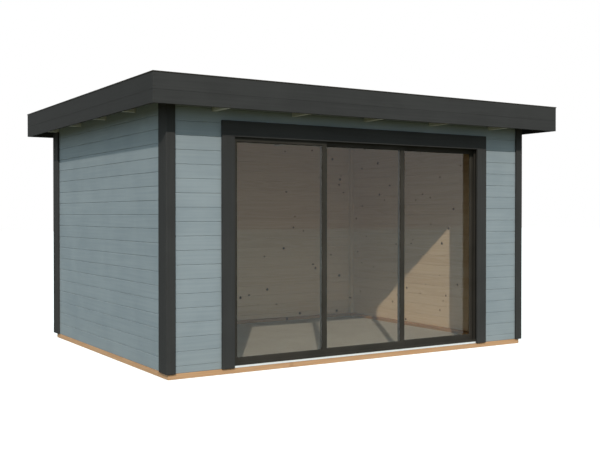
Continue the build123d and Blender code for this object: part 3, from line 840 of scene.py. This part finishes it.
# %% [markdown]
# ## Glass, tracks and threshold
#
# The panes, the channelled tracks and the bright strip under them already have their true shapes in
# the frame, so they stay and only get finishes. Sunlight has to pass the glass to reach the room. A
# refracting shader would stop or blur it, so for light on its way the pane is plainly clear.

# %% Finishes for the frame's own nodes
GLASS_TINT, GLASS_IOR = (0.95, 0.945, 0.92, 1), 1.4
PASSING_TINT = (0.97, 0.96, 0.94, 1)
STRIP_COLOURS = (0.86, 0.86, 0.85, 1), (0.95, 0.95, 0.94, 1)
STRIP_STRETCH, STRIP_ROUGHNESS, STRIP_RELIEF = (3.0, 900.0, 900.0), (0.28, 0.44), 0.0001


def clear_glass():
    """Clear glass that refracts what is seen through it and lets other light pass, slightly tinted."""
    material, tree, shader = new_finish("clear_glass", base_color=GLASS_TINT, roughness=0.0,
                                        ior=GLASS_IOR, transmission_weight=1.0)
    passing = put(tree, "ShaderNodeBsdfTransparent", {"Color": PASSING_TINT})
    path = put(tree, "ShaderNodeLightPath").outputs
    unseen = sum_of(tree, "MAXIMUM", path["Is Shadow Ray"], path["Is Diffuse Ray"])
    either = put(tree, "ShaderNodeMixShader", {0: unseen, 1: shader.outputs[0], 2: passing.outputs[0]})
    tree.links.new(either.outputs[0], tree.nodes["Material Output"].inputs["Surface"])
    return material


def bright_strip():
    """Natural aluminium, drawn lengthwise: fine streaks along X change its sheen."""
    material, tree, shader = new_finish("bright_strip", metallic=1.0)
    streaks = noise(tree, stretched(tree, object_place(tree), STRIP_STRETCH))
    feed(tree, shader.inputs["Base Color"], blend(tree, streaks, *STRIP_COLOURS))
    feed(tree, shader.inputs["Roughness"], ramp(tree, streaks, 0.2, 0.8, *STRIP_ROUGHNESS))
    bump(tree, shader, streaks, STRIP_RELIEF)
    return material


def dress(node, finish):
    """Gives one of the frame's own nodes a new finish."""
    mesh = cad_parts[node].data
    mesh.materials.clear()
    mesh.materials.append(finish)


CLEAR_GLASS = clear_glass()
for hand in LEAF_HANDS:
    dress(f"glass_{hand}", CLEAR_GLASS)
TRACK_NODES = ("door_jamb_left", "door_jamb_right", "door_head", "door_sill")
for node in TRACK_NODES:
    dress(node, FRAME_COATING)
dress("door_threshold", bright_strip())
print("dressed as they are: 3 panes, the threshold and", ", ".join(TRACK_NODES))

# %% [markdown]
# ## The roof: rafters, boards and felt
#
# Tapered rafters run from the front to the back, and lookouts carry the side eaves. Boards
# along X close the roof and show underneath between the rafters. Over them lie courses of felt,
# from the low edge up, each lapping the one below, and strips of felt turn up behind the fascia.
# Boards and courses are drawn flat and then tipped: the height of the boards' underside is added to
# every point.

# %% Rafters and lookouts
RAFTER_EASE = 0.003


def rafter_bars():
    """Five rafters, drawn too high and then planed off along the underside of the roof boards."""
    low, high = box_of("rafters")
    side = RAFTER_PLACES - RAFTER_WIDTH / 2, RAFTER_PLACES + RAFTER_WIDTH / 2
    return under_roof(boards(corner_points(side[0], low[1], low[2]),
                             corner_points(side[1], high[1], high[2]), 1, RAFTER_EASE))


def lookout_bars(hand):
    """Four lookouts through a side wall, planed like the rafters."""
    low, high = box_of(f"lookouts_{hand}")
    side = LOOKOUT_PLACES - RAFTER_WIDTH / 2, LOOKOUT_PLACES + RAFTER_WIDTH / 2
    return under_roof(boards(corner_points(low[0], side[0], low[2]),
                             corner_points(high[0], side[1], high[2]), 0, RAFTER_EASE))


add_timber("roof_rafters", [batch(rafter_bars(), 1)], [ROOF_PINE], ["rafters"])
for hand in ("left", "right"):
    add_timber(f"eaves_lookouts_{hand}", [batch(lookout_bars(hand), 0)], [ROOF_PINE],
               [f"lookouts_{hand}"])

# %% Roof boards and felt
ROOF_BOARD_WIDTH = 0.0945
ROOF_BOARD_EASE = 0.0025
COURSE_WIDTH, COURSE_LAP, COURSE_RISE = 1.0, 0.09, 0.03
FELT_THICKNESS, COURSE_EASE, UPSTAND_EASE = 0.004, 0.0005, 0.0008
FELT_COLOURS = (0.028, 0.029, 0.032, 1), (0.085, 0.086, 0.09, 1)
FELT_GRAIN_SCALE, FELT_RELIEF = 420.0, 0.001


def tipped(rings, lift=0.0):
    """Rings drawn on a level deck, tipped to the roof's fall and lifted above the boards' underside."""
    rings[..., 2] += deck_under(rings[..., 1]) + lift
    return rings


def roof_boards():
    """Boards along X, side by side from the front to the back."""
    spans = cut_spans(deck_low[1], deck_high[1], ROOF_BOARD_WIDTH)
    return tipped(boards(corner_points(deck_low[0], spans[:, 0], 0.0),
                         corner_points(deck_high[0], spans[:, 1], DECK_THICKNESS), 0, ROOF_BOARD_EASE))


def felt_courses():
    """Courses along X: flat on the boards, then up over the next lower course, whose edge they lap."""
    spans = cut_spans(deck_low[1], deck_high[1], COURSE_WIDTH)
    upper, lower = spans[:, 0], np.minimum(spans[:, 1] + COURSE_LAP, deck_high[1])
    thick = FELT_THICKNESS
    outlines = []
    for start, stop in zip(upper, lower):
        lap = stop - COURSE_LAP
        lift = thick if stop < deck_high[1] else 0.0
        under = [(start, 0), (lap - COURSE_RISE, 0), (lap, lift), (stop, lift)]
        over = [(stop, lift + thick), (lap, lift + thick), (lap - COURSE_RISE, thick), (start, thick)]
        outlines.append(under + over)
    span = deck_low[0], deck_high[0]
    return tipped(straight(np.array(outlines), span, 0, COURSE_EASE), DECK_THICKNESS)


def border_strips(node, width, gap, ease):
    """Strips round a node's box: two along X at its ends, and two along Y between them with a gap."""
    low, high = box_of(node)
    inner_low, inner_high = low + width, high - width
    along_x = boards(corner_points(low[0], [low[1], inner_high[1]], low[2]),
                     corner_points(high[0], [inner_low[1], high[1]], high[2]), 0, ease)
    along_y = boards(corner_points([low[0], inner_high[0]], inner_low[1] + gap, low[2]),
                     corner_points([inner_low[0], high[0]], inner_high[1] - gap, high[2]), 1, ease)
    return along_x, along_y


def felt_upstands():
    """Strips turned up against the fascia, which end below on the slope of the felt."""
    strips = border_strips("felt_upstands", FELT_THICKNESS, 0.0, UPSTAND_EASE)
    for rings in strips:
        floor_line = deck_under(rings[..., 1]) + DECK_THICKNESS + FELT_THICKNESS / 2
        rings[..., 2] = np.maximum(rings[..., 2], floor_line)
    return [batch(rings, axis) for axis, rings in enumerate(strips)]


def mineral_felt():
    """Roofing felt faced with dark mineral grains, in slightly clouded patches."""
    material, tree, shader = new_finish("mineral_felt", roughness=0.9, specular_ior_level=0.2)
    place = object_place(tree)
    grains = put(tree, "ShaderNodeTexVoronoi", {"Vector": place, "Scale": FELT_GRAIN_SCALE})
    grain = put(tree, "ShaderNodeSeparateColor", {"Color": grains.outputs["Color"]}).outputs[0]
    cloud = ramp(tree, noise(tree, place, 1.8, detail=5.0), *CLOUD_EDGES)
    colour = blend(tree, weighed(tree, grain, FLECK_SHARE, cloud), *FELT_COLOURS)
    feed(tree, shader.inputs["Base Color"], colour)
    bump(tree, shader, grains.outputs["Distance"], FELT_RELIEF)
    return material


MINERAL_FELT = mineral_felt()
add_timber("roof_boards", [batch(roof_boards(), 0)], [ROOF_PINE], ["roof_deck"])
add_timber("felt_courses", [batch(felt_courses(), 0, steps=0)], [MINERAL_FELT], ["roof_felt"])
add_timber("felt_turned_up", felt_upstands(), [MINERAL_FELT], ["felt_upstands"])

# %% [markdown]
# ## Fascia and capping
#
# Two deep boards, one over the other, hide the roof on every side, with a fine chamfer where they
# meet so that the joint reads as a faint line. Front and back boards lap the ends of the side ones. A
# thin dark capping covers the top edge. The chamfer is just another ease on one corner of the section.

# %% Fascia boards
FASCIA_LOWER_HEIGHT, FASCIA_JOINT_GAP = 0.104, 0.0006
FASCIA_CHAMFER = 0.0013


def fascia_bars(node, axis, outward):
    """The lower and the upper board of one side; axis is the way they run, outward is -1 or 1."""
    low, high = box_of(node)
    foot = np.array([low[2], low[2] + FASCIA_LOWER_HEIGHT + FASCIA_JOINT_GAP])
    crown = np.array([low[2] + FASCIA_LOWER_HEIGHT, high[2]])
    board_low, board_high = np.tile(low, (2, 1)), np.tile(high, (2, 1))
    board_low[:, 2], board_high[:, 2] = foot, crown
    outer, upper = SECTION_CORNERS.T if axis == 0 else SECTION_CORNERS.T[::-1]
    meets = np.stack([(outer == outward) & (upper == 1), (outer == outward) & (upper == -1)])
    ease = np.where(meets, FASCIA_CHAMFER, BOARD_EASE)[:, :, None]
    return boards(board_low, board_high, axis, np.broadcast_to(ease, (2, 4, 2)))


for name, axis, outward in (("front", 0, -1), ("back", 0, 1), ("left", 1, -1), ("right", 1, 1)):
    node = f"fascia_{name}"
    add_timber(f"fascia_boards_{name}", [batch(fascia_bars(node, axis, outward), axis)], [DARK_PAINT],
               [node])

# %% Capping strips
CAPPING_WIDTH, CAPPING_GAP, CAPPING_EASE = 0.030, 0.001, 0.0012
capping = border_strips("roof_edge_trim", CAPPING_WIDTH, CAPPING_GAP, CAPPING_EASE)
add_timber("roof_capping", [batch(rings, axis) for axis, rings in enumerate(capping)], [FRAME_COATING],
           ["roof_edge_trim"])

# %% [markdown]
# ## Screws
#
# Fascia, corner boards and casing are held by flat-headed screws, painted over with the boards. A head
# is a surface of turning: a rim, a low dome and a small recess. One head is a table of radius and
# height shares, turned into rings, and copied to all the places at once, facing out of its board.

# %% Screw heads
HEAD_RADIUS, HEAD_RISE = 0.0042, 0.0009
HEAD_SIDES = 10
HEAD_SHARES = np.array([(1.0, -0.6), (1.0, 0.3), (0.8, 1.0), (0.36, 1.0), (0.28, -0.2)])


def screw_heads(places, axis, outward):
    """Heads at places (n, 3), facing along an axis: ring point = place + radius * (cos, sin) + height."""
    turn = 2 * math.pi * np.arange(HEAD_SIDES) / HEAD_SIDES * outward
    radius, rise = HEAD_SHARES[:, :1] * HEAD_RADIUS, HEAD_SHARES[:, 1:] * HEAD_RISE
    rings = np.empty((len(HEAD_SHARES), HEAD_SIDES, 3))
    rings[..., axis] = outward * rise
    rings[..., (axis + 1) % 3] = radius * np.cos(turn)
    rings[..., (axis + 2) % 3] = radius * np.sin(turn)
    return np.asarray(places)[:, None, None] + rings


def grid_places(x, y, z):
    """All the places on a grid of three lists, (n, 3)."""
    return np.stack(np.meshgrid(x, y, z, indexing="ij"), axis=-1).reshape(-1, 3)


SCREW_INSET, CORNER_INSET, CASING_INSET = 0.022, 0.1, 0.08
SCREWS_UP, SCREWS_ACROSS = 5, 7
screws = []
low, high = box_of("fascia_front")
joint, end_inset = low[2] + FASCIA_LOWER_HEIGHT, BOARD_EASE + SCREW_INSET / 3
heights = [low[2] + SCREW_INSET, joint - SCREW_INSET, joint + SCREW_INSET, high[2] - SCREW_INSET]
columns = np.concatenate([RAFTER_PLACES, [low[0] + end_inset, high[0] - end_inset]])
for name, outward in (("front", -1), ("back", 1)):
    low, high = box_of(f"fascia_{name}")
    face = low[1] if outward < 0 else high[1]
    screws.append(screw_heads(grid_places(columns, [face], heights), 1, outward))
for name, outward in (("left", -1), ("right", 1)):
    low, high = box_of(f"fascia_{name}")
    face = low[0] if outward < 0 else high[0]
    screws.append(screw_heads(grid_places([face], LOOKOUT_PLACES, heights), 0, outward))
for end, y_out in (("front", -1), ("back", 1)):
    for hand, x_out in (("left", -1), ("right", 1)):
        for part, axis, outward in (("face", 1, y_out), ("return", 0, x_out)):
            low, high = box_of(f"corner_{part}_{end}_{hand}")
            place = (low + high) / 2
            place[axis] = low[axis] if outward < 0 else high[axis]
            heights = np.linspace(low[2] + CORNER_INSET, high[2] - CORNER_INSET, SCREWS_UP)
            screws.append(screw_heads(grid_places([place[0]], [place[1]], heights), axis, outward))
for node in ("casing_left", "casing_right"):
    low, high = box_of(node)
    columns = [low[0] + SCREW_INSET, high[0] - SCREW_INSET]
    heights = np.linspace(low[2] + CASING_INSET, high[2] - CASING_INSET, SCREWS_UP)
    screws.append(screw_heads(grid_places(columns, [low[1]], heights), 1, -1))
low, high = box_of("casing_head")
columns = np.linspace(low[0] + CASING_INSET, high[0] - CASING_INSET, SCREWS_ACROSS)
heights = [low[2] + SCREW_INSET, high[2] - SCREW_INSET]
screws.append(screw_heads(grid_places(columns, [low[1]], heights), 1, -1))

rings = np.concatenate(screws)
heads, stations, points = rings.shape[:3]
sides, ends = skin(heads, stations, points)
mesh = write_mesh("board_screws", rings.reshape(-1, 3), [sides, ends], [])
add_object(mesh, [FRAME_COATING])
print("board_screws:", heads, "heads,", len(sides) + len(ends), "faces")

# %% [markdown]
# ## Floor, light and background
#
# The pod stands on a plain pale floor under a white sky. One soft sun comes from the front left, low
# enough to reach far into the room, and the sky fills the shade with cooler light. Rays from the
# camera, and those that glass or metal send on, see plain white. The floor is white to the camera too,
# but returns less light to the pod, so that the eaves stay in shade.

# %% Stage floor
STAGE_HALF = 60.0
FLOOR_GLOW = 0.32
FLOOR_SEEN, FLOOR_UNSEEN = (0.92, 0.92, 0.92, 1), (0.165, 0.148, 0.088, 1)


def seen_ray(tree):
    """1 for the camera's rays, also past glass and gloss, and 0 for light that a matt face has scattered."""
    path = put(tree, "ShaderNodeLightPath").outputs
    sent_on = sum_of(tree, "MAXIMUM", path["Is Glossy Ray"], path["Is Transmission Ray"])
    unscattered = sum_of(tree, "LESS_THAN", path["Diffuse Depth"], 0.5)
    return share_of(tree, sum_of(tree, "MAXIMUM", path["Is Camera Ray"], sent_on), unscattered)


def stage_floor():
    """A wide level quad under the pod: pale, lifted towards white for the camera, and shadowed."""
    places = STAGE_HALF * np.array([(-1, -1, 0), (1, -1, 0), (1, 1, 0), (-1, 1, 0)], float)
    mesh = write_mesh("stage_floor", places, [np.array([[0, 1, 2, 3]])], [])
    material, tree, shader = new_finish("stage_white", roughness=0.9, specular_ior_level=0.0,
                                        emission_color=(1, 1, 1, 1))
    feed(tree, shader.inputs["Base Color"], blend(tree, seen_ray(tree), FLOOR_UNSEEN, FLOOR_SEEN))
    camera_ray = put(tree, "ShaderNodeLightPath").outputs["Is Camera Ray"]
    feed(tree, shader.inputs["Emission Strength"], share_of(tree, camera_ray, FLOOR_GLOW))
    mesh.materials.append(material)
    floor = bpy.data.objects.new("stage_floor", mesh)
    bpy.context.collection.objects.link(floor)


stage_floor()
print("stage floor:", 2 * STAGE_HALF, "m square")

# %% Sun and sky
SUN_TRAVEL = np.array((0.80, 1.31, -1.0))
SUN_STRENGTH, SUN_SPREAD, SUN_COLOUR = 2.40, math.radians(0.8), (1.0, 0.95, 0.83)
SKY_STRENGTH, SKY_COLOUR = 0.95, (0.76, 0.925, 0.985, 1)


def aim(direction):
    """Turning (Euler XYZ) that points a lamp or camera, which looks along its own -Z, in a direction."""
    x, y, z = direction / np.linalg.norm(direction)
    return (math.acos(-z), 0.0, math.atan2(-x, y))


def sun_lamp():
    """The one lamp: a warm sun with a slightly soft edge."""
    lamp = bpy.data.lights.new("sun", "SUN")
    lamp.energy = SUN_STRENGTH
    lamp.angle = SUN_SPREAD
    lamp.color = SUN_COLOUR
    sun = bpy.data.objects.new("sun", lamp)
    sun.rotation_euler = aim(SUN_TRAVEL)
    bpy.context.collection.objects.link(sun)


def white_sky():
    """A cool sky for the light that falls on things, and plain white for what is seen or mirrored."""
    world = bpy.data.worlds.new("white_sky")
    bpy.context.scene.world = world
    world.use_nodes = True
    tree = world.node_tree
    tree.nodes.clear()
    seen = seen_ray(tree)
    fill = put(tree, "ShaderNodeBackground", {"Color": SKY_COLOUR, "Strength": SKY_STRENGTH})
    white = put(tree, "ShaderNodeBackground", {"Color": (1, 1, 1, 1), "Strength": 1.0})
    either = put(tree, "ShaderNodeMixShader", {0: seen, 1: fill.outputs[0], 2: white.outputs[0]})
    put(tree, "ShaderNodeOutputWorld", {"Surface": either.outputs[0]})


sun_lamp()
white_sky()
bpy.context.scene.view_settings.view_transform = "Standard"
print("sun from", np.round(-SUN_TRAVEL / np.linalg.norm(SUN_TRAVEL), 2))

# %% [markdown]
# ## Camera
#
# The camera stands at eye level to the front left, where straight edges of the pod line up with the
# photograph, and looks almost level.

# %% Camera
CAMERA_PLACE = (-4.715, -7.884, 1.299)
CAMERA_YAW, CAMERA_DIP = math.radians(32.01), math.radians(0.67)
CAMERA_LENS = 53.27

eye = bpy.data.cameras.new("camera")
eye.lens = CAMERA_LENS
eye.sensor_width = 36.0
eye.sensor_fit = "HORIZONTAL"
camera = bpy.data.objects.new("camera", eye)
camera.location = CAMERA_PLACE
camera.rotation_euler = aim(np.array((math.sin(CAMERA_YAW) * math.cos(CAMERA_DIP),
                                      math.cos(CAMERA_YAW) * math.cos(CAMERA_DIP), -math.sin(CAMERA_DIP))))
bpy.context.collection.objects.link(camera)
bpy.context.scene.camera = camera
print("camera at", CAMERA_PLACE)
